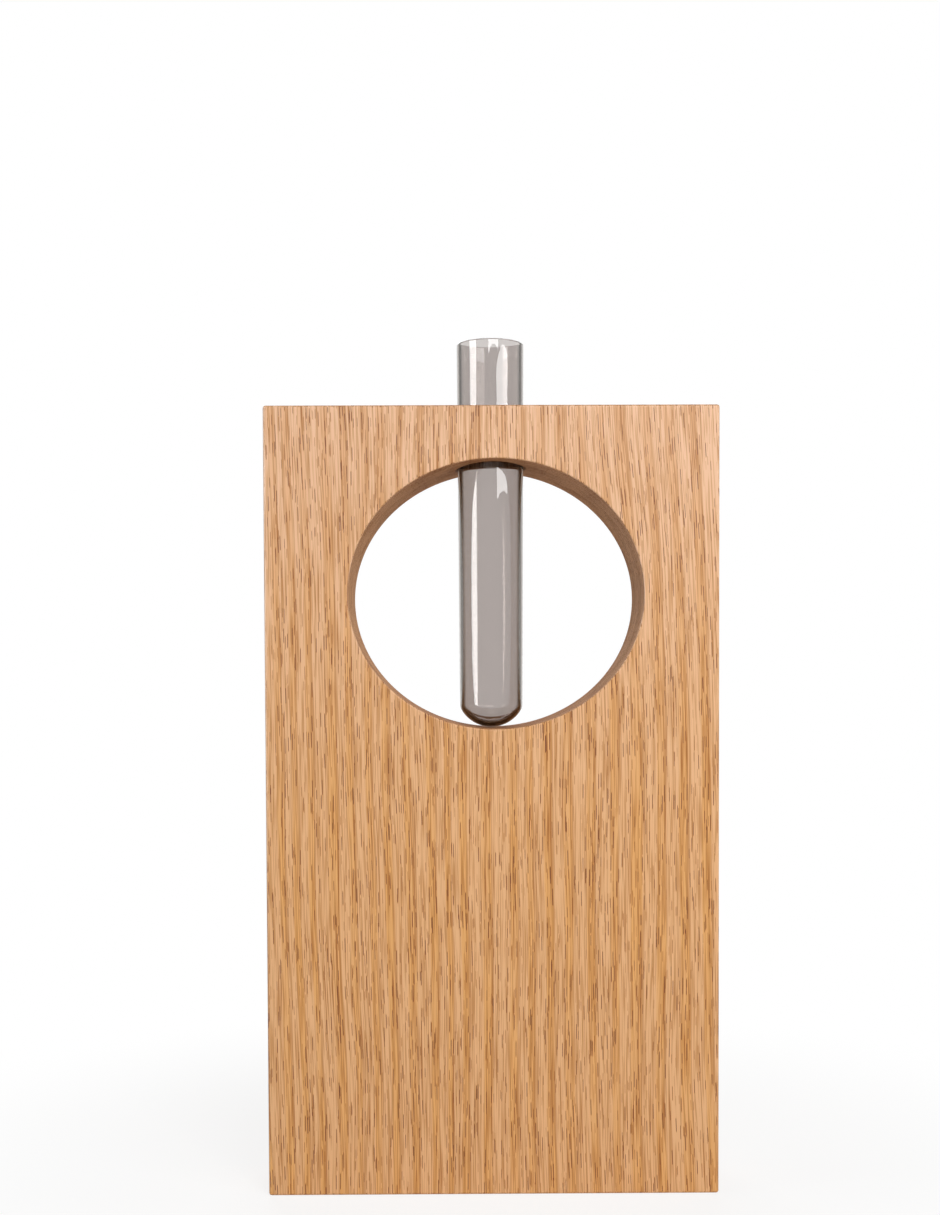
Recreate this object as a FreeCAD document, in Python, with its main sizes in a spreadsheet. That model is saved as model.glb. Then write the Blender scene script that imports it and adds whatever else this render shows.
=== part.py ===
import FreeCAD, Part
import math
import os
import Sketcher

# A test tube vase: an upright oak block with an oval window cut through it, and a smoky
# round-bottomed glass tube that drops through a bore in the top and stands in the window.
# Millimetres. X is the width, Y the depth with the front at -Y, and Z points up.
# The origin is the middle of the block's underside.

SIZES = {
    # The block
    "block_width": 172.0,
    "block_thickness": 44.0,
    "block_height": 300.0,
    "block_easing": 1.0,
    # The oval window, the bridge of wood over it, and how far right of the middle it was cut
    "window_width": 112.0,
    "window_height": 102.0,
    "window_bridge": 20.0,
    "window_offset": 1.5,
    "window_easing": 0.6,
    # The bore for the tube: the gap all round the tube's mouth, and its eased upper edge
    "bore_clearance": 0.7,
    "bore_easing": 0.8,
    # The tube: its outside narrows from the mouth to the foot
    "tube_length": 148.6,
    "mouth_diameter": 26.0,
    "foot_diameter": 24.5,
    "tube_wall": 1.2,
    # The domed foot: its depth, the radius of its corner, and the thicker glass at its lowest point
    "foot_depth": 8.9,
    "foot_corner": 5.0,
    "foot_glass": 1.4,
    # The mouth's two edges, melted round, and the gap under the foot where it rests
    "lip_rounding": 0.5,
    "seat_gap": 0.3,
}

# Places and sizes that follow from the sizes above
HALF_WINDOW = "Sizes.window_width / 2"
WINDOW_RISE = "Sizes.window_height / 2"
WINDOW_MIDDLE = f"Sizes.block_height - Sizes.window_bridge - {WINDOW_RISE}"
WINDOW_BOTTOM = f"{WINDOW_MIDDLE} - {WINDOW_RISE}"
BORE_DIAMETER = "Sizes.mouth_diameter + 2 * Sizes.bore_clearance"

# A sketch's own numbers for its axes, and for the points of an edge
X_AXIS = -1
Y_AXIS = X_AXIS - 1
START = 1
END = START + 1
CENTRE = END + 1
ORIGIN = (X_AXIS, START)

FULL_TURN = 360
RIGHT_ANGLE = math.pi / 2
TINY = 1e-6

document = FreeCAD.newDocument("TestTubeVase")


def make_sheet():
    """Puts every size in a spreadsheet cell under its own name."""
    sheet = document.addObject("Spreadsheet::Sheet", "Sizes")
    for row, (name, value) in enumerate(SIZES.items(), start=1):
        sheet.set(f"A{row}", name)
        sheet.set(f"B{row}", str(value))
        sheet.setAlias(f"B{row}", name)
    document.recompute()
    return sheet


sizes = make_sheet()


def value_of(expression):
    """The number that an expression on the sizes gives now."""
    return float(sizes.evalExpression(expression))


def make_body(name):
    body = document.addObject("PartDesign::Body", name)
    body.Label = name
    return body


def make_sketch(body, name, role):
    """An empty sketch on one of the body's own origin planes."""
    plane = next(item for item in body.Origin.OriginFeatures if item.Role == role)
    sketch = body.newObject("Sketcher::SketchObject", name)
    sketch.AttachmentSupport = [(plane, "")]
    sketch.MapMode = "FlatFace"
    return sketch


def bind(sketch, name, constraint, expression):
    """Adds a named dimension to a sketch and ties it to the sizes."""
    index = sketch.addConstraint(constraint)
    sketch.renameConstraint(index, name)
    sketch.setExpression(f"Constraints.{name}", expression)


def join(sketch, *corners):
    """Makes the ends of neighbouring edges meet."""
    for first, first_end, second, second_end in corners:
        sketch.addConstraint(Sketcher.Constraint("Coincident", first, first_end, second, second_end))


def add_feature(body, kind, name, profile=None):
    feature = body.newObject(f"PartDesign::{kind}", name)
    if profile is not None:
        feature.Profile = profile
        profile.Visibility = False
    return feature


def edges_where(feature, test):
    """The names of a feature's edges that pass a test."""
    return [f"Edge{n}" for n, edge in enumerate(feature.Shape.Edges, start=1) if test(edge)]


def ease_edges(body, kind, name, base, edges, size_name, expression):
    """Rounds or bevels the named edges of the feature before it."""
    easing = add_feature(body, kind, name)
    easing.Base = (base, edges)
    easing.setExpression(size_name, expression)
    document.recompute()
    return easing


def check_cut(cut, solid_before):
    """A cut that points away from the solid would leave it whole."""
    document.recompute()
    if cut.Shape.Volume >= solid_before.Shape.Volume:
        raise RuntimeError(f"{cut.Name} takes nothing away")


def draw_rectangle(sketch, width, height):
    """A rectangle with the sketch's origin in its middle."""
    right = value_of(width) / 2
    top = value_of(height) / 2
    corners = [(-right, -top), (right, -top), (right, top), (-right, top)]
    points = [FreeCAD.Vector(x, y, 0) for x, y in corners]
    for start, end in zip(points, points[1:] + points[:1]):
        sketch.addGeometry(Part.LineSegment(start, end), False)
    join(sketch, (0, END, 1, START), (1, END, 2, START), (2, END, 3, START), (3, END, 0, START))
    for side in (0, 2):
        sketch.addConstraint(Sketcher.Constraint("Horizontal", side))
    for side in (1, 3):
        sketch.addConstraint(Sketcher.Constraint("Vertical", side))
    sketch.addConstraint(Sketcher.Constraint("Symmetric", 0, START, 2, START, *ORIGIN))
    bind(sketch, "width", Sketcher.Constraint("DistanceX", 0, START, 0, END, 2 * right), width)
    bind(sketch, "height", Sketcher.Constraint("DistanceY", 1, START, 1, END, 2 * top), height)


def arc_radius(half_width, half_height):
    """The radius of an oval's upper and lower arcs, or of its side arcs with the two sizes swapped.

    It is the one radius that keeps both sizes and lets neighbouring arcs meet without a corner
    where they slope at 45 degrees.
    """
    return f"(({half_width}) - ({half_height}) * (sqrt(2) - 1)) / (2 - sqrt(2))"


def draw_oval(sketch, half_width, half_height, right_of_origin, above_origin):
    """An oval of four arcs: right, upper, left and lower."""
    side_radius = arc_radius(half_height, half_width)
    upper_radius = arc_radius(half_width, half_height)
    middle = FreeCAD.Vector(value_of(right_of_origin), value_of(above_origin), 0)
    sideways = FreeCAD.Vector(value_of(half_width) - value_of(side_radius), 0, 0)
    upwards = FreeCAD.Vector(0, value_of(half_height) - value_of(upper_radius), 0)
    normal = FreeCAD.Vector(0, 0, 1)
    places = [(sideways, side_radius), (upwards, upper_radius)]
    places += [(-sideways, side_radius), (-upwards, upper_radius)]
    right, upper, left, lower = (
        sketch.addGeometry(
            Part.ArcOfCircle(
                Part.Circle(middle + offset, normal, value_of(radius)),
                (quarter - 0.5) * RIGHT_ANGLE,
                (quarter + 0.5) * RIGHT_ANGLE,
            ),
            False,
        )
        for quarter, (offset, radius) in enumerate(places)
    )
    for first, second in ((right, upper), (upper, left), (left, lower), (lower, right)):
        sketch.addConstraint(Sketcher.Constraint("Tangent", first, END, second, START))
    sketch.addConstraint(Sketcher.Constraint("Equal", right, left))
    sketch.addConstraint(Sketcher.Constraint("Equal", upper, lower))
    side_size = Sketcher.Constraint("Radius", right, value_of(side_radius))
    bind(sketch, "side_radius", side_size, side_radius)
    upper_size = Sketcher.Constraint("Radius", upper, value_of(upper_radius))
    bind(sketch, "upper_radius", upper_size, upper_radius)
    sketch.addConstraint(Sketcher.Constraint("Horizontal", left, CENTRE, right, CENTRE))
    reach = Sketcher.Constraint("DistanceX", left, CENTRE, right, CENTRE, 2 * sideways.x)
    bind(sketch, "reach", reach, f"2 * (({half_width}) - {side_radius})")
    across = Sketcher.Constraint("DistanceX", *ORIGIN, upper, CENTRE, middle.x)
    bind(sketch, "right_of_origin", across, right_of_origin)
    up = Sketcher.Constraint("DistanceY", *ORIGIN, right, CENTRE, middle.y)
    bind(sketch, "above_origin", up, above_origin)


def draw_circle(sketch, diameter):
    """A circle on the sketch's origin."""
    middle = FreeCAD.Vector(0, 0, 0)
    circle = Part.Circle(middle, FreeCAD.Vector(0, 0, 1), value_of(diameter) / 2)
    ring = sketch.addGeometry(circle, False)
    sketch.addConstraint(Sketcher.Constraint("Coincident", ring, CENTRE, *ORIGIN))
    bind(sketch, "diameter", Sketcher.Constraint("Diameter", ring, value_of(diameter)), diameter)


def draw_domed_half(sketch, bottom, shoulder, top, foot_radius, mouth_radius, corner):
    """Half the outline of a round-bottomed tube, from its axis outwards.

    A shallow crown starts on the axis at the bottom, a tighter corner turns it up to the shoulder,
    and a straight wall widens slowly from there to the top.
    """
    low = value_of(bottom)
    shoulder_height = value_of(shoulder)
    high = value_of(top)
    foot = value_of(foot_radius)
    mouth = value_of(mouth_radius)
    bend = value_of(corner)
    depth = shoulder_height - low
    crown = (depth**2 - bend**2 + (foot - bend) ** 2) / (2 * (depth - bend))
    crown_middle = FreeCAD.Vector(0, low + crown, 0)
    bend_middle = FreeCAD.Vector(foot - bend, shoulder_height, 0)
    turn = math.atan2(bend_middle.y - crown_middle.y, bend_middle.x)
    up = FreeCAD.Vector(0, 0, 1)
    crown_arc = Part.ArcOfCircle(Part.Circle(crown_middle, up, crown), -RIGHT_ANGLE, turn)
    bend_arc = Part.ArcOfCircle(Part.Circle(bend_middle, up, bend), turn, 0)
    axis_bottom = FreeCAD.Vector(0, low, 0)
    axis_top = FreeCAD.Vector(0, high, 0)
    wall_bottom = FreeCAD.Vector(foot, shoulder_height, 0)
    wall_top = FreeCAD.Vector(mouth, high, 0)
    dome, bend_edge, wall, rim, axis = (
        sketch.addGeometry(edge, False)
        for edge in (
            crown_arc,
            bend_arc,
            Part.LineSegment(wall_bottom, wall_top),
            Part.LineSegment(wall_top, axis_top),
            Part.LineSegment(axis_top, axis_bottom),
        )
    )
    join(sketch, (wall, END, rim, START), (rim, END, axis, START), (axis, END, dome, START))
    sketch.addConstraint(Sketcher.Constraint("Tangent", dome, END, bend_edge, START))
    sketch.addConstraint(Sketcher.Constraint("Tangent", bend_edge, END, wall, START))
    sketch.addConstraint(Sketcher.Constraint("PointOnObject", dome, CENTRE, Y_AXIS))
    sketch.addConstraint(Sketcher.Constraint("PointOnObject", dome, START, Y_AXIS))
    sketch.addConstraint(Sketcher.Constraint("PointOnObject", rim, END, Y_AXIS))
    sketch.addConstraint(Sketcher.Constraint("Horizontal", rim))
    bind(sketch, "corner", Sketcher.Constraint("Radius", bend_edge, bend), corner)
    foot_across = Sketcher.Constraint("DistanceX", *ORIGIN, wall, START, foot)
    bind(sketch, "foot_radius", foot_across, foot_radius)
    shoulder_up = Sketcher.Constraint("DistanceY", *ORIGIN, wall, START, shoulder_height)
    bind(sketch, "shoulder", shoulder_up, shoulder)
    mouth_across = Sketcher.Constraint("DistanceX", *ORIGIN, wall, END, mouth)
    bind(sketch, "mouth_radius", mouth_across, mouth_radius)
    top_up = Sketcher.Constraint("DistanceY", *ORIGIN, wall, END, high)
    bind(sketch, "top", top_up, top)
    if low == 0:
        sketch.addConstraint(Sketcher.Constraint("PointOnObject", dome, START, X_AXIS))
        return
    bottom_up = Sketcher.Constraint("DistanceY", *ORIGIN, dome, START, low)
    bind(sketch, "bottom", bottom_up, bottom)


def make_oak_block():
    """The block: sawn to size, its edges eased, then cut for the window and bored for the tube."""
    body = make_body("oak_block")

    outline = make_sketch(body, "BlockOutline", "XY_Plane")
    draw_rectangle(outline, "Sizes.block_width", "Sizes.block_thickness")
    blank = add_feature(body, "Pad", "Blank", outline)
    blank.setExpression("Length", "Sizes.block_height")
    document.recompute()
    all_edges = edges_where(blank, lambda edge: True)
    eased = ease_edges(body, "Fillet", "EasedEdges", blank, all_edges, "Radius", "Sizes.block_easing")

    oval = make_sketch(body, "WindowOval", "XZ_Plane")
    oval.setExpression("AttachmentOffset.Base.z", "Sizes.block_thickness / 2")
    draw_oval(oval, HALF_WINDOW, WINDOW_RISE, "Sizes.window_offset", WINDOW_MIDDLE)
    window = add_feature(body, "Pocket", "Window", oval)
    window.setExpression("Length", "Sizes.block_thickness")
    check_cut(window, eased)

    circle = make_sketch(body, "BoreCircle", "XY_Plane")
    circle.setExpression("AttachmentOffset.Base.z", "Sizes.block_height")
    draw_circle(circle, BORE_DIAMETER)
    bore = add_feature(body, "Pocket", "TubeBore", circle)
    bore.setExpression("Length", f"Sizes.window_bridge + {WINDOW_RISE}")
    check_cut(bore, window)

    face_depth = value_of("Sizes.block_thickness") / 2
    top_height = value_of("Sizes.block_height")

    def is_window_rim(edge):
        on_a_face = abs(abs(edge.CenterOfMass.y) - face_depth) < TINY
        return on_a_face and isinstance(edge.Curve, Part.Circle)

    def is_bore_mouth(edge):
        at_the_top = abs(edge.CenterOfMass.z - top_height) < TINY
        return at_the_top and edge.isClosed()

    rims = edges_where(bore, is_window_rim)
    broken = ease_edges(body, "Chamfer", "BrokenRims", bore, rims, "Size", "Sizes.window_easing")
    mouth = edges_where(broken, is_bore_mouth)
    body.Tip = ease_edges(body, "Chamfer", "EasedBore", broken, mouth, "Size", "Sizes.bore_easing")
    return body


def make_glass_tube():
    """The tube, turned about its own axis with its foot at zero, then stood in the window."""
    body = make_body("glass_tube")

    outside = make_sketch(body, "TubeOutside", "XZ_Plane")
    draw_domed_half(
        outside,
        bottom="0",
        shoulder="Sizes.foot_depth",
        top="Sizes.tube_length",
        foot_radius="Sizes.foot_diameter / 2",
        mouth_radius="Sizes.mouth_diameter / 2",
        corner="Sizes.foot_corner",
    )
    glass = add_feature(body, "Revolution", "Glass", outside)
    glass.ReferenceAxis = (outside, ["V_Axis"])
    glass.Angle = FULL_TURN
    document.recompute()

    inside = make_sketch(body, "TubeInside", "XZ_Plane")
    draw_domed_half(
        inside,
        bottom="Sizes.foot_glass",
        shoulder="Sizes.foot_depth",
        top="Sizes.tube_length",
        foot_radius="Sizes.foot_diameter / 2 - Sizes.tube_wall",
        mouth_radius="Sizes.mouth_diameter / 2 - Sizes.tube_wall",
        corner="Sizes.foot_corner - Sizes.tube_wall",
    )
    hollow = add_feature(body, "Groove", "Hollow", inside)
    hollow.ReferenceAxis = (inside, ["V_Axis"])
    hollow.Angle = FULL_TURN
    check_cut(hollow, glass)

    length = value_of("Sizes.tube_length")

    def is_mouth_edge(edge):
        return abs(edge.CenterOfMass.z - length) < TINY and edge.isClosed()

    mouth = edges_where(hollow, is_mouth_edge)
    body.Tip = ease_edges(body, "Fillet", "Lip", hollow, mouth, "Radius", "Sizes.lip_rounding")

    body.setExpression("Placement.Base.z", f"{WINDOW_BOTTOM} + Sizes.seat_gap")
    document.recompute()
    return body


def check_document(bodies):
    """Stops before anything is written if a feature failed or a shape isn't one sound solid."""
    for item in document.Objects:
        if "Invalid" in item.State or "Error" in item.State:
            raise RuntimeError(f"{item.Name}: {item.State}")
    for body in bodies:
        if body.Shape.isNull() or not body.Shape.isValid():
            raise RuntimeError(f"{body.Label} has no valid shape")
        if len(body.Shape.Solids) != 1:
            raise RuntimeError(f"{body.Label} is not one solid")


bodies = [make_oak_block(), make_glass_tube()]
document.recompute()
check_document(bodies)

os.makedirs("parts", exist_ok=True)
for body in bodies:
    body.Shape.exportStep(f"parts/{body.Label}.step")
    box = body.Shape.BoundBox
    print(
        body.Label,
        f"x {box.XMin:.2f} to {box.XMax:.2f}, y {box.YMin:.2f} to {box.YMax:.2f},",
        f"z {box.ZMin:.2f} to {box.ZMax:.2f}, volume {body.Shape.Volume:.0f}",
    )
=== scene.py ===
import math

import bmesh
import bpy
from mathutils import Matrix, Vector


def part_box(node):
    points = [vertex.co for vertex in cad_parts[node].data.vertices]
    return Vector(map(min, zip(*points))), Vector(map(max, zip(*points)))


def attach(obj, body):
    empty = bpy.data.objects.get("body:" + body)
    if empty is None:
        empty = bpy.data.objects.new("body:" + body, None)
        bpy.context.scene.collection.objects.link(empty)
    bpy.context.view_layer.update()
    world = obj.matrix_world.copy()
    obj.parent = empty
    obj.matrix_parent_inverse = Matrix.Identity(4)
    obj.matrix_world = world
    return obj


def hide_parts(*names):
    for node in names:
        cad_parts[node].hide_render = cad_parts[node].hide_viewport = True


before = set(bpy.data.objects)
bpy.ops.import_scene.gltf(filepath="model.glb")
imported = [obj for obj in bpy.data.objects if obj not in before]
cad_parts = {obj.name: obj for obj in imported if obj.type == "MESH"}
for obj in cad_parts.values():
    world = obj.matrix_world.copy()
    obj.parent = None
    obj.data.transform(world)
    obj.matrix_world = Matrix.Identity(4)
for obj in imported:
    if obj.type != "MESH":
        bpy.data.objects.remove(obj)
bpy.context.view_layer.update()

MM = 0.001
DEG = math.pi / 180
QUARTER_TURN = 90 * DEG
HALF_TURN = 180 * DEG
FULL_TURN = 360 * DEG

# Longer than any length here, in millimetres: along it nothing changes
FAR = 1e9

# The two pieces as model.glb gives them
block_low, block_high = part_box("oak_block")
tube_low, tube_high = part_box("glass_tube")
BLOCK_WIDTH = block_high.x - block_low.x
BLOCK_THICKNESS = block_high.y - block_low.y
BLOCK_HEIGHT = block_high.z - block_low.z
block_middle = (block_low + block_high) / 2

# The block's easing and window
EDGE_EASING = 1.0 * MM
WINDOW_WIDTH = 112 * MM
WINDOW_HEIGHT = 102 * MM
WINDOW_BRIDGE = 20 * MM
WINDOW_OFFSET = 1.5 * MM
WINDOW_EASING = 0.6 * MM
window_middle = Vector((WINDOW_OFFSET, 0, block_high.z - WINDOW_BRIDGE - WINDOW_HEIGHT / 2))

# The tube's glass
MOUTH_RADIUS = (tube_high.x - tube_low.x) / 2
FOOT_RADIUS = 12.25 * MM
TUBE_WALL = 1.2 * MM
FOOT_DEPTH = 8.9 * MM
FOOT_CORNER = 5.0 * MM
FOOT_GLASS = 1.4 * MM

# The bore that the tube slides in
BORE_CLEARANCE = 0.7 * MM
BORE_RADIUS = MOUTH_RADIUS + BORE_CLEARANCE
BORE_EASING = 0.8 * MM

# How many straight pieces each rounding is made of
EASING_STEPS = 4
WINDOW_STEPS = 288
BORE_STEPS = 128
TUBE_STEPS = 160
DOME_STEPS = 14
LIP_STEPS = 12

# Points this near to a face, in metres, lie on it, and points this near to each other are one
ON_FACE = 1e-6
SAME_POINT = 1e-6

# Points up to this share of an opening's radius belong to its edge
OPENING_REACH = 1.01

# A face of the window's wall looks less than this to the front
WALL_FRONTNESS = 0.1

# Faces that meet at more than this stay sharp
SHARP_TURN = 40 * DEG

# Kept on the block's corners: how far each looks to the side, how sawn and darkened by painted
# shade it is, how far it looks up
CUT = "cut"

# Kept on the tube's faces: 1 inside the wall, 0 outside
INSIDE = "inside"

# How far the window's wall is darkened: partly the sawn wood's browner tone, mostly painted shade
# of the recess
SAWN_AND_SHADED_WALL = 0.43

# Noise in a shader runs from 0 to 1 and lies round this
NOISE_MIDDLE = 0.5


# Shaders

class Value:
    """A shader socket that Python's own arithmetic works on, by adding Math nodes."""

    def __init__(self, shader, socket):
        self.shader = shader
        self.socket = socket

    def math(self, operation, *others):
        inputs = dict(enumerate((self, *others)))
        return self.shader.node("ShaderNodeMath", {"operation": operation}, inputs)

    def beside(self, output):
        """Another output of the same node."""
        return Value(self.shader, self.socket.node.outputs[output])

    def __add__(self, other):
        return self.math("ADD", other)

    def __sub__(self, other):
        return self.math("SUBTRACT", other)

    def __mul__(self, other):
        return self.math("MULTIPLY", other)

    def __truediv__(self, other):
        return self.math("DIVIDE", other)

    def __pow__(self, other):
        return self.math("POWER", other)

    def __rsub__(self, other):
        return self.math("MULTIPLY_ADD", -1, other)

    __radd__ = __add__
    __rmul__ = __mul__


class Shader:
    """The nodes of a material or of the world. Lengths inside it are in millimetres."""

    def __init__(self, owner):
        self.owner = owner
        owner.use_nodes = True
        self.tree = owner.node_tree
        self.tree.nodes.clear()

    def node(self, kind, settings=None, inputs=None, output=0):
        """Adds a node: its settings first, then the values or links of its sockets."""
        made = self.tree.nodes.new(kind)
        for name, value in (settings or {}).items():
            setattr(made, name, value)
        for name, value in (inputs or {}).items():
            if isinstance(value, Value):
                self.tree.links.new(value.socket, made.inputs[name])
            else:
                made.inputs[name].default_value = value
        return Value(self, made.outputs[output])

    def place(self):
        """The place on the piece, in millimetres."""
        spot = self.node("ShaderNodeTexCoord", output="Object")
        inputs = {"Vector": spot, "Scale": (1 / MM, 1 / MM, 1 / MM)}
        return self.node("ShaderNodeMapping", None, inputs)

    def vector(self, operation, *vectors, output=0):
        inputs = dict(enumerate(vectors))
        return self.node("ShaderNodeVectorMath", {"operation": operation}, inputs, output)

    def stretch(self, place, size):
        """A place counted in lengths of the given size."""
        return self.vector("MULTIPLY", place, [1 / side for side in size])

    def split(self, place):
        parts = self.node("ShaderNodeSeparateXYZ", None, {"Vector": place})
        return [parts.beside(axis) for axis in "XYZ"]

    def join(self, x, y, z):
        return self.node("ShaderNodeCombineXYZ", None, {"X": x, "Y": y, "Z": z})

    def noise(self, place, size, output=0):
        """Noise with one patch, light or dark, to each length of the given size."""
        inputs = {"Vector": self.stretch(place, size), "Scale": 1, "Detail": 1}
        return self.node("ShaderNodeTexNoise", None, inputs, output)

    def noise_along(self, distance, size):
        """Noise that changes with one distance only."""
        inputs = {"W": distance / size, "Scale": 1, "Detail": 1}
        return self.node("ShaderNodeTexNoise", {"noise_dimensions": "1D"}, inputs)

    def drift(self, place, size, reach, along):
        """Moves a place by noise, as far along each axis as the last vector says."""
        way = self.noise(place, size, "Color")
        way = self.vector("SUBTRACT", way, (NOISE_MIDDLE, NOISE_MIDDLE, NOISE_MIDDLE))
        way = self.vector("MULTIPLY", way, (reach, reach, reach))
        return self.vector("MULTIPLY_ADD", way, along, place)

    def away(self, place, middle, reach):
        """The distance from a place, counted in lengths of the given reach."""
        offset = self.stretch(self.vector("SUBTRACT", place, middle), reach)
        return self.vector("LENGTH", offset, output="Value")

    def attribute(self, name):
        return self.node("ShaderNodeAttribute", {"attribute_name": name}, output="Vector")

    def ramp(self, value, stops):
        """Colours that flow into each other as the value passes from stop to stop."""
        made = self.node("ShaderNodeValToRGB", None, {"Fac": value})
        ramp = made.socket.node.color_ramp
        ramp.interpolation = "EASE"
        while len(ramp.elements) < len(stops):
            ramp.elements.new(1.0)
        for element, (position, tone) in zip(ramp.elements, stops):
            element.position = position
            element.color = tone
        return made

    def step(self, value, low, high, at_low=0.0, at_high=1.0):
        """Goes smoothly from one number to another as the value passes from low to high."""
        inputs = {"Value": value, 1: low, 2: high, 3: at_low, 4: at_high}
        return self.node("ShaderNodeMapRange", {"interpolation_type": "SMOOTHSTEP"}, inputs)

    def mix(self, share, first, second, blend="MIX"):
        """Mixes two colours."""
        settings = {"data_type": "RGBA", "blend_type": blend}
        return self.node("ShaderNodeMix", settings, {"Factor": share, 6: first, 7: second}, 2)

    def seen(self):
        """1 for light that the eye meets, straight, mirrored or through glass, and otherwise 0."""
        path = self.node("ShaderNodeLightPath", output="Is Camera Ray")
        mirrored = path.math("MAXIMUM", path.beside("Is Glossy Ray"))
        return mirrored.math("MAXIMUM", path.beside("Is Transmission Ray"))

    def finish(self, surface, volume=None, kind="ShaderNodeOutputMaterial"):
        """Adds the node that all others lead to, and returns the material or the world."""
        out = self.tree.nodes.new(kind)
        self.tree.links.new(surface.socket, out.inputs["Surface"])
        if volume is not None:
            self.tree.links.new(volume.socket, out.inputs["Volume"])
        return self.owner


def colour(red, green, blue):
    """A colour as a screen shows it, 0 to 255, made into the light that a shader takes."""
    def light(part):
        part = part / 255
        return part / 12.92 if part <= 0.04045 else ((part + 0.055) / 1.055) ** 2.4

    return (light(red), light(green), light(blue), 1.0)


# Oak, with its lengths in millimetres

# Where the trunk's pith was, how wide a year's ring is, and how far, in radians, noise of the
# given size shifts the rings
PITH = (370, 700, 0)
RING = 3.5
UNEVEN_SIZE = 9
UNEVEN = 5

# How the grain leans, sways and ripples along the face on its way up, and a little across it too
LEAN = 0.016
SWAY_SIZE = (45, 45, 130)
SWAY = 5.5
RIPPLE_SIZE = (10, 10, 30)
RIPPLE = 0.25
CREEP = 0.08

# Where the grain swells to one side, and by how much
SWELL_MIDDLE = (66, 0, 312)
SWELL_REACH = (50, 300, 90)
SWELL = 4

# How big one patch of each pattern is: thin across the trunk and long up it
RUN_SIZE = (2.0, 2.0, 90)
LINE_SIZE = (0.65, 0.65, 50)
FIBRE_SIZE = (0.4, 0.4, 22)
FADE_SIZE = (4.5, 4.5, 70)
SMEAR_SIZE = (8, 8, 120)
PATCH_SIZE = (5, 5, 40)
LARGE_PORE_SIZE = (0.8, 0.8, 18)
SMALL_PORE_SIZE = (0.5, 0.5, 10)

# Steps: where each begins and ends, and the numbers that it goes between, if not 0 and 1
EARLY_WOOD = (0.5, 0.86)
BAND_FADE = (0.34, 0.6, 0.65, 1.0)
SEAM_BREAKS = (0.35, 0.6, 0.4, 1.0)
PORE_BREAKS = (0.35, 0.6, 1.25, 0.8)
PORE_EDGE = (0.6, 1.0, 1.0, 0.0)
# The heights, in millimetres, over which the painted sheen grows towards the top
SHEEN_RISE = (110, 315)

# How ragged the fibres and the runs make the edge of a golden band
FIBRE_RAG = 0.4
RUN_RAG = 0.6

# How a dark seam lies along a band: how the fibres shift it, where it is, and how thin it is
SEAM_SHIFT = 1.6
SEAM_PHASE = 0.4
SEAM_THINNESS = 18

# Pores: their width in their cells, what a golden band adds to it, and how they vary
LARGE_PORE = 0.175
SMALL_PORE = 0.21
GOLDEN_PORE = 0.03
SMALL_PORE_DEPTH = 0.62
SHALLOWEST_PORE = 0.5
PORE_SCATTER = 0.9

# How much each pattern shifts the wood's tone
MIDDLE_TONE = 0.9
RUN_TONE = 0.15
FIBRE_TONE = 1.75
SMEAR_TONE = 2.4
GOLDEN_TONE = 0.05
SEAM_TONE = 0.24
PORE_TONE = 1.45
PATCH_TINT = 0.45

# The surface's fine relief, and how deep it counts
FIBRE_HEIGHT = 0.3
LINE_HEIGHT = 0.2
RELIEF = 0.1
RELIEF_STRENGTH = 0.2

# Roughness: of oiled oak, and what fibres, pores, the saw and the end grain add to it
OILED_ROUGHNESS = 0.28
FIBRE_ROUGHNESS = 0.1
PORE_ROUGHNESS = 0.2
SAWN_ROUGHNESS = 1.48
END_ROUGHNESS = 0.4

# How strongly oiled oak and glass bend and mirror light
BENDING = 1.5

OAK_TONES = (
    (0.0, colour(112, 54, 4)),
    (0.35, colour(166, 104, 42)),
    (0.6, colour(191, 138, 81)),
    (0.75, colour(203, 151, 95)),
    (1.0, colour(226, 178, 127)),
)
GOLDEN = (0.96, 0.868, 0.62, 1)
# The golden bands' tint at the block's top, part of the painted sheen
SHEEN_TAN = (0.93, 0.865, 0.8, 1)
ROSY = (0.99, 0.99, 1.035, 1)
# Painted sheen: the tint low on the block, and the paler, bluer tint at its top
LOW_SHEEN_TINT = (0.962, 0.925, 0.885, 1)
HIGH_SHEEN_TINT = (1.01, 1.065, 1.33, 1)
END_TINT = (0.73, 0.63, 0.5, 1)
# The window's wall: partly the sawn wood's browner tone, mostly painted shade of the recess
SAWN_AND_SHADE_TINT = (0.57, 0.42, 0.2, 1)


def open_pores(oak, grain, size, width):
    """Long open pores: one to a cell of the given size, as wide as the given share of it."""
    cells = {"Vector": oak.stretch(grain, size), "Scale": 1, "Randomness": PORE_SCATTER}
    away = oak.node("ShaderNodeTexVoronoi", {"distance": "CHEBYCHEV"}, cells, "Distance")
    chance = oak.vector("DOT_PRODUCT", away.beside("Color"), (1, 0, 0), output="Value")
    depth = chance * (1 - SHALLOWEST_PORE) + SHALLOWEST_PORE
    return oak.step(away / width, *PORE_EDGE) * depth


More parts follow.
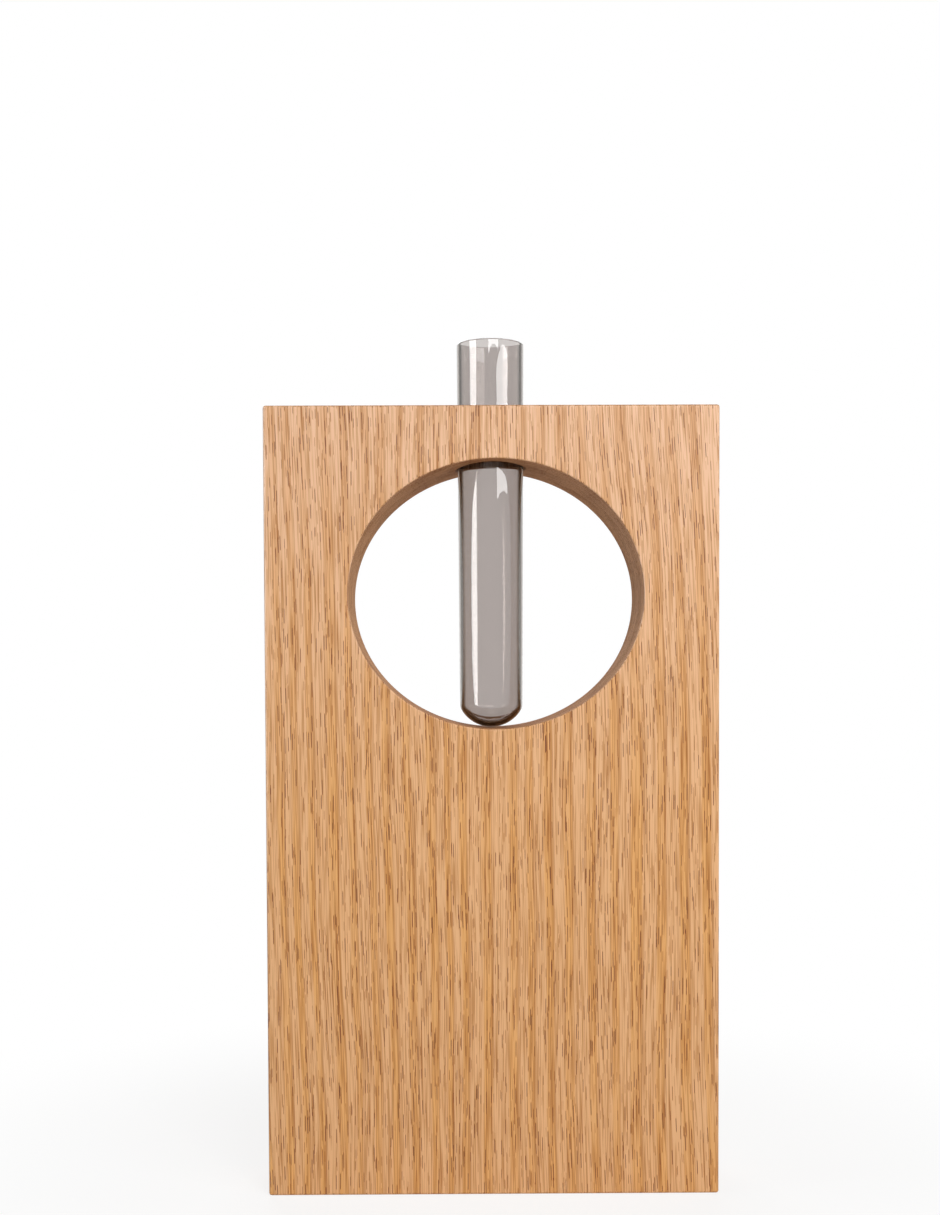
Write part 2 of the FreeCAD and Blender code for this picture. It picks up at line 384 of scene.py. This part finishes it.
def make_oak():
    """Sawn and oiled oak: golden bands of early wood, fine fibres and open pores, with painted
    sheen towards the top and painted shade on the window's wall.
    """
    oak = Shader(bpy.data.materials.new("oiled_oak"))
    side, sawn_and_shaded, end_grain = oak.split(oak.attribute(CUT))

    # Where each place on the block sits in the grain
    spot = oak.place()
    up = oak.split(spot)[2]
    swell = oak.step(oak.away(spot, SWELL_MIDDLE, SWELL_REACH), 0, 1, SWELL, 0)
    along_face = oak.join((1 - side) + CREEP, side + CREEP, 0)
    grain = oak.drift(spot, SWAY_SIZE, SWAY, along_face)
    grain = oak.drift(grain, RIPPLE_SIZE, RIPPLE, along_face)
    grain = oak.vector("ADD", grain, oak.join(swell + up * LEAN, 0, 0))

    # Streaks that run far up the trunk, broad and thin, and short fibres among them
    run = oak.noise(grain, RUN_SIZE)
    line = oak.noise(grain, LINE_SIZE)
    fibre = oak.noise(grain, FIBRE_SIZE)

    # Growth rings: a band of golden early wood in each year, fading in and out up the trunk
    radius = oak.away(grain, PITH, (1, 1, FAR))
    year = radius * (FULL_TURN / RING) + oak.noise_along(radius, UNEVEN_SIZE) * UNEVEN
    ring = year.math("SINE") * 0.5 + 0.5
    ragged = ring + (fibre - NOISE_MIDDLE) * FIBRE_RAG + (run - NOISE_MIDDLE) * RUN_RAG
    golden = oak.step(ragged, *EARLY_WOOD) * oak.step(oak.noise(grain, FADE_SIZE), *BAND_FADE)

    # A thin dark line along one side of each band
    wave = (year + fibre * SEAM_SHIFT + SEAM_PHASE).math("SINE")
    seam = (wave * 0.5 + 0.5) ** SEAM_THINNESS * oak.step(fibre, *SEAM_BREAKS)

    # Open pores, wider in the golden bands
    large = open_pores(oak, grain, LARGE_PORE_SIZE, golden * GOLDEN_PORE + LARGE_PORE)
    small = open_pores(oak, grain, SMALL_PORE_SIZE, golden * GOLDEN_PORE + SMALL_PORE)
    pore = large.math("MAXIMUM", small * SMALL_PORE_DEPTH) * oak.step(line, *PORE_BREAKS)

    # The saw smears the tone of what it cuts
    smear = (oak.noise(grain, SMEAR_SIZE) - NOISE_MIDDLE) * sawn_and_shaded
    tone = (run - NOISE_MIDDLE) * RUN_TONE + (line - NOISE_MIDDLE)
    tone = tone + (fibre - NOISE_MIDDLE) * FIBRE_TONE + MIDDLE_TONE + smear * SMEAR_TONE
    tone = tone - golden * GOLDEN_TONE - seam * SEAM_TONE - pore * PORE_TONE

    # Painted sheen: towards the block's top the wood is made paler and rosier, and the golden
    # bands turn tan, in place of the lamps' sheen on the face
    painted_sheen = oak.step(up, *SHEEN_RISE)
    patch = oak.noise(grain, PATCH_SIZE) - NOISE_MIDDLE
    tint = oak.mix(golden + patch * PATCH_TINT, ROSY, oak.mix(painted_sheen, GOLDEN, SHEEN_TAN))
    base = oak.mix(1, oak.ramp(tone, OAK_TONES), tint, "MULTIPLY")
    # Painted sheen: the colour lifted paler and bluer towards the top
    base = oak.mix(1, base, oak.mix(painted_sheen, LOW_SHEEN_TINT, HIGH_SHEEN_TINT), "MULTIPLY")
    base = oak.mix(end_grain, base, END_TINT, "MULTIPLY")
    # Painted shade on the window's wall, with the sawn wood's browner tone
    base = oak.mix(sawn_and_shaded, base, SAWN_AND_SHADE_TINT, "MULTIPLY")

    height = fibre * FIBRE_HEIGHT + line * LINE_HEIGHT - pore
    relief = {"Height": height, "Distance": RELIEF * MM, "Strength": RELIEF_STRENGTH}
    roughness = (sawn_and_shaded * SAWN_ROUGHNESS).math("MAXIMUM", end_grain * END_ROUGHNESS)
    roughness = roughness + pore * PORE_ROUGHNESS + fibre * FIBRE_ROUGHNESS + OILED_ROUGHNESS
    surface = oak.node(
        "ShaderNodeBsdfPrincipled",
        None,
        {
            "Base Color": base,
            "Roughness": roughness,
            "IOR": BENDING,
            "Normal": oak.node("ShaderNodeBump", None, relief),
        },
    )
    return oak.finish(surface)


# Glass

GLASS_TINT = (0.748, 0.713, 0.714, 1)
# Painted shade laid along the glass's silhouettes, in place of the dark edges that bending light
# gives
PAINTED_EDGE_SHADE = (0.06, 0.05, 0.04, 1)

# What the smoke in the glass leaves of the light, and how thick the smoke is
SMOKE = (0.5, 0.45, 0.36, 1)
SMOKE_DENSITY = 300

# How far the wall turns from the eye where the painted shade darkens it: inside, and in a narrow
# line outside
INSIDE_SHADE_EDGE = (0.5, 0.72)
SHADE_LINE_START = (0.5, 0.58)
SHADE_LINE_END = (0.66, 0.74, 1, 0)


def make_smoky_glass():
    """Grey-brown glass, with painted shade towards its silhouettes."""
    glass = Shader(bpy.data.materials.new("smoky_glass"))

    # Painted shade: the inside darkens towards the silhouette, and the outside gets a narrow dark
    # line that leaves the silhouette itself pale
    facing = glass.node("ShaderNodeLayerWeight", output="Facing")
    inside = glass.split(glass.attribute(INSIDE))[0]
    line = glass.step(facing, *SHADE_LINE_START) * glass.step(facing, *SHADE_LINE_END)
    edge = glass.step(facing, *INSIDE_SHADE_EDGE) * inside + line * (1 - inside)
    surface = glass.node(
        "ShaderNodeBsdfPrincipled",
        None,
        {
            "Base Color": glass.mix(edge, GLASS_TINT, PAINTED_EDGE_SHADE),
            "Roughness": 0.0,
            "IOR": BENDING,
            "Transmission Weight": 1.0,
        },
    )
    smoke = {"Color": SMOKE, "Density": SMOKE_DENSITY}
    volume = glass.node("ShaderNodeVolumeAbsorption", None, smoke)
    return glass.finish(surface, volume)


# Meshes

def add_object(name, data):
    """Puts a mesh, a lamp or a camera into the scene."""
    made = bpy.data.objects.new(name, data)
    bpy.context.scene.collection.objects.link(made)
    return made


def add_mesh(name, bm):
    """Puts a bmesh into the scene as an object."""
    mesh = bpy.data.meshes.new(name)
    bm.to_mesh(mesh)
    bm.free()
    return add_object(name, mesh)


def make_piece(name, bm, material, body, node):
    """Makes a piece of the object from a bmesh, in place of the CAD node of the same form."""
    piece = add_mesh(name, bm)
    piece.data.materials.append(material)
    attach(piece, body)
    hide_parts(node)
    return piece


def cut_away(bm, cutter):
    """Takes one closed bmesh away from another, and returns what is left."""
    blank = add_mesh("blank", bm)
    tool = add_mesh("cutter", cutter)
    cut = blank.modifiers.new("cut", "BOOLEAN")
    cut.operation = "DIFFERENCE"
    cut.solver = "EXACT"
    cut.object = tool
    depsgraph = bpy.context.evaluated_depsgraph_get()
    result = bpy.data.meshes.new_from_object(blank.evaluated_get(depsgraph))
    left = bmesh.new()
    left.from_mesh(result)
    scrap = (blank.data, tool.data, result)
    bpy.data.objects.remove(blank)
    bpy.data.objects.remove(tool)
    for mesh in scrap:
        bpy.data.meshes.remove(mesh)
    return left


def round_edges(bm, edges, width):
    bmesh.ops.bevel(
        bm,
        geom=edges,
        offset=width,
        offset_type="OFFSET",
        segments=EASING_STEPS,
        profile=0.5,
        affect="EDGES",
        material=-1,
    )


def in_window(place):
    x = (place.x - window_middle.x) / (WINDOW_WIDTH / 2)
    z = (place.z - window_middle.z) / (WINDOW_HEIGHT / 2)
    return math.hypot(x, z) < OPENING_REACH


def on_window_rim(place):
    return abs(abs(place.y) - BLOCK_THICKNESS / 2) < ON_FACE and in_window(place)


def on_bore_mouth(place):
    in_bore = math.hypot(place.x, place.y) < BORE_RADIUS * OPENING_REACH
    return abs(place.z - block_high.z) < ON_FACE and in_bore


def ease(bm, belongs, width):
    """Rounds the edges whose ends both belong to an opening."""
    edges = [edge for edge in bm.edges if all(belongs(vert.co) for vert in edge.verts)]
    round_edges(bm, edges, width)


def make_block():
    bm = bmesh.new()
    size = Matrix.Diagonal((BLOCK_WIDTH, BLOCK_THICKNESS, BLOCK_HEIGHT, 1))
    bmesh.ops.create_cube(bm, size=1, matrix=Matrix.Translation(block_middle) @ size)
    round_edges(bm, bm.edges[:], EDGE_EASING)

    window = bmesh.new()
    oval = Matrix.Diagonal((WINDOW_WIDTH / 2, 1, WINDOW_HEIGHT / 2, 1))
    lying = Matrix.Rotation(QUARTER_TURN, 4, "X")
    bmesh.ops.create_cone(
        window,
        cap_ends=True,
        segments=WINDOW_STEPS,
        radius1=1,
        radius2=1,
        depth=2 * BLOCK_THICKNESS,
        matrix=Matrix.Translation(window_middle) @ oval @ lying,
    )
    bm = cut_away(bm, window)

    # The bore ends in the window
    bore = bmesh.new()
    bmesh.ops.create_cone(
        bore,
        cap_ends=True,
        segments=BORE_STEPS,
        radius1=BORE_RADIUS,
        radius2=BORE_RADIUS,
        depth=WINDOW_HEIGHT,
        matrix=Matrix.Translation((0, 0, block_high.z)),
    )
    bm = cut_away(bm, bore)

    ease(bm, on_window_rim, WINDOW_EASING)
    ease(bm, on_bore_mouth, BORE_EASING)
    bm.normal_update()

    # What the oak needs to know about each face
    cut = bm.loops.layers.float_vector.new(CUT)
    for face in bm.faces:
        face.smooth = True
        on_wall = in_window(face.calc_center_median()) and abs(face.normal.y) < WALL_FRONTNESS
        # The window's wall gets the sawn wood's tone and its painted shade
        sawn_and_shaded = SAWN_AND_SHADED_WALL if on_wall else 0.0
        for corner in face.loops:
            corner[cut] = (face.normal.x**2, sawn_and_shaded, face.normal.z**2)
    for edge in bm.edges:
        edge.smooth = len(edge.link_faces) == 2 and edge.calc_face_angle(0) < SHARP_TURN

    block = make_piece("oak_body", bm, make_oak(), "block", "oak_block")
    even = block.modifiers.new("even_faces", "WEIGHTED_NORMAL")
    even.keep_sharp = True


def arc(bm, vert, middle, turn, steps):
    """Grows a row of edges from a point, along an arc in the plane of X and Z. Returns its end."""
    made = bmesh.ops.spin(
        bm, geom=[vert], cent=middle, axis=(0, -1, 0), angle=turn, steps=steps, use_duplicate=False
    )
    return next(item for item in made["geom_last"] if isinstance(item, bmesh.types.BMVert))


def straight(bm, vert, end):
    """Grows one edge from a point to a place. Returns its end."""
    made = bmesh.ops.extrude_vert_indiv(bm, verts=[vert])
    made["verts"][0].co = end
    return made["verts"][0]


def grow_dome(bm, low, shoulder, radius, corner):
    """The half outline of a round foot, from the axis out to the shoulder. Returns its end."""
    # The crown's radius is the one that lets it flow into the corner
    depth = shoulder - low
    crown = (depth**2 - corner**2 + (radius - corner) ** 2) / (2 * (depth - corner))
    crown_middle = Vector((0, 0, low + crown))
    corner_middle = Vector((radius - corner, 0, shoulder))
    turn = math.atan2(radius - corner, crown_middle.z - shoulder)
    point = bmesh.ops.create_vert(bm, co=(0, 0, low))["vert"][0]
    point = arc(bm, point, crown_middle, turn, DOME_STEPS)
    return arc(bm, point, corner_middle, QUARTER_TURN - turn, DOME_STEPS)


def make_tube():
    bm = bmesh.new()
    foot = tube_low.z
    shoulder = foot + FOOT_DEPTH
    lip = TUBE_WALL / 2
    outer = grow_dome(bm, foot, shoulder, FOOT_RADIUS, FOOT_CORNER)
    outer = straight(bm, outer, (MOUTH_RADIUS, 0, tube_high.z - lip))
    outer = arc(bm, outer, (MOUTH_RADIUS - lip, 0, tube_high.z - lip), HALF_TURN, LIP_STEPS)
    inner_radius = FOOT_RADIUS - TUBE_WALL
    inner = grow_dome(bm, foot + FOOT_GLASS, shoulder, inner_radius, FOOT_CORNER - TUBE_WALL)
    bm.edges.new((outer, inner))
    bmesh.ops.spin(
        bm,
        geom=bm.verts[:] + bm.edges[:],
        cent=(0, 0, 0),
        axis=(0, 0, 1),
        angle=FULL_TURN,
        steps=TUBE_STEPS,
        use_merge=True,
    )
    bmesh.ops.remove_doubles(bm, verts=bm.verts, dist=SAME_POINT)
    bmesh.ops.recalc_face_normals(bm, faces=bm.faces)

    # The hollow's wall looks towards the axis, and its floor looks up
    inside = bm.faces.layers.float.new(INSIDE)
    for face in bm.faces:
        face.smooth = True
        middle = face.calc_center_median()
        inward = face.normal.x * middle.x + face.normal.y * middle.y < 0
        face[inside] = float(inward or (face.normal.z > 0 and middle.z < shoulder))
    tube = make_piece("smoky_tube", bm, make_smoky_glass(), "tube", "glass_tube")


# Studio

WHITE = (1, 1, 1, 1)

# The floor's half width, in metres, and its paint
FLOOR_REACH = 30
FLOOR_PAINT = colour(250, 250, 250)

# How far from the vase the floor starts to brighten, and where it is white, in millimetres
FLOOR_PLAIN = 100
FLOOR_WHITE = 330

# How far the floor near the vase is lifted towards the backdrop's white
FLOOR_LIFT = 0.78

# How much light the backdrop casts on the vase
BACKDROP_LIGHT = 0.165

# Lamps: azimuth and elevation in degrees, distance, width and height in metres, power in watts
SOFTBOXES = {
    "key_softbox": (10, 34, 1.3, 0.72, 0.36, 7.4),
    "right_softbox": (41, 20, 1.4, 0.95, 0.25, 6.4),
    "left_strip": (-64, 10, 1.2, 0.5, 1.2, 17),
    "left_fill": (-80, 35, 1.4, 0.8, 0.5, 2.2),
    "back_softbox": (185, 35, 1.5, 1.1, 0.7, 9.5),
}


def make_floor():
    """A pale floor that keeps the shadow near the vase, and is white further off."""
    paint = Shader(bpy.data.materials.new("pale_floor"))
    away = paint.away(paint.place(), (0, 0, 0), (1, 1, FAR))
    share = paint.step(away, FLOOR_PLAIN, FLOOR_WHITE, FLOOR_LIFT, 1) * paint.seen()
    near = paint.node("ShaderNodeBsdfDiffuse", None, {"Color": FLOOR_PAINT})
    far = paint.node("ShaderNodeEmission", None, {"Color": WHITE, "Strength": 1})
    surface = paint.node("ShaderNodeMixShader", None, {0: share, 1: near, 2: far})
    bm = bmesh.new()
    bmesh.ops.create_grid(bm, x_segments=2, y_segments=2, size=FLOOR_REACH)
    floor = add_mesh("floor", bm)
    floor.data.materials.append(paint.finish(surface))


def make_world():
    """A backdrop that looks white and casts little light."""
    studio = Shader(bpy.data.worlds.new("studio"))
    looks = studio.node("ShaderNodeBackground", None, {"Color": WHITE, "Strength": 1})
    casts = studio.node("ShaderNodeBackground", None, {"Color": WHITE, "Strength": BACKDROP_LIGHT})
    surface = studio.node("ShaderNodeMixShader", None, {0: studio.seen(), 1: casts, 2: looks})
    bpy.context.scene.world = studio.finish(surface, kind="ShaderNodeOutputWorld")


def make_softbox(name, azimuth, elevation, distance, width, height, power):
    """A flat lamp that looks at the block. Azimuth 0 is in front, and it grows to the right."""
    lamp = bpy.data.lights.new(name, "AREA")
    lamp.shape = "RECTANGLE"
    lamp.size = width
    lamp.size_y = height
    lamp.energy = power
    softbox = add_object(name, lamp)
    azimuth, elevation = azimuth * DEG, elevation * DEG
    level = math.cos(elevation)
    away = Vector((math.sin(azimuth) * level, -math.cos(azimuth) * level, math.sin(elevation)))
    softbox.location = block_middle + away * distance
    softbox.rotation_euler = (-away).to_track_quat("-Z", "Y").to_euler()
    return softbox


def make_camera():
    """The camera that took the photograph, as its perspective gives it."""
    focal_pixels = 1580
    picture_width, picture_height = 940, 1215
    axis_x, axis_y = 471, 737
    place = Vector((-12.11, -619.54, 195.59)) * MM
    pitch, yaw, roll = -1.97 * DEG, 0.38 * DEG, -0.23 * DEG
    camera = bpy.data.cameras.new("camera")
    camera.sensor_width = 36
    camera.lens = focal_pixels * camera.sensor_width / picture_height
    camera.shift_x = (picture_width / 2 - axis_x) / picture_height
    camera.shift_y = (axis_y - picture_height / 2) / picture_height
    camera.clip_start = 10 * MM
    camera.clip_end = 100
    turn = Matrix.Rotation(-yaw, 4, "Z") @ Matrix.Rotation(QUARTER_TURN + pitch, 4, "X")
    stand = add_object("camera", camera)
    stand.matrix_world = Matrix.Translation(place) @ turn @ Matrix.Rotation(roll, 4, "Z")
    bpy.context.scene.camera = stand


make_block()
make_tube()
make_floor()
make_world()
lamps = {name: make_softbox(name, *numbers) for name, numbers in SOFTBOXES.items()}

# The strip is there for its streak in the glass, and the fill for the wood on the left
lamps["left_strip"].visible_diffuse = False
lamps["left_fill"].visible_glossy = False
make_camera()
bpy.context.scene.view_settings.view_transform = "Standard"
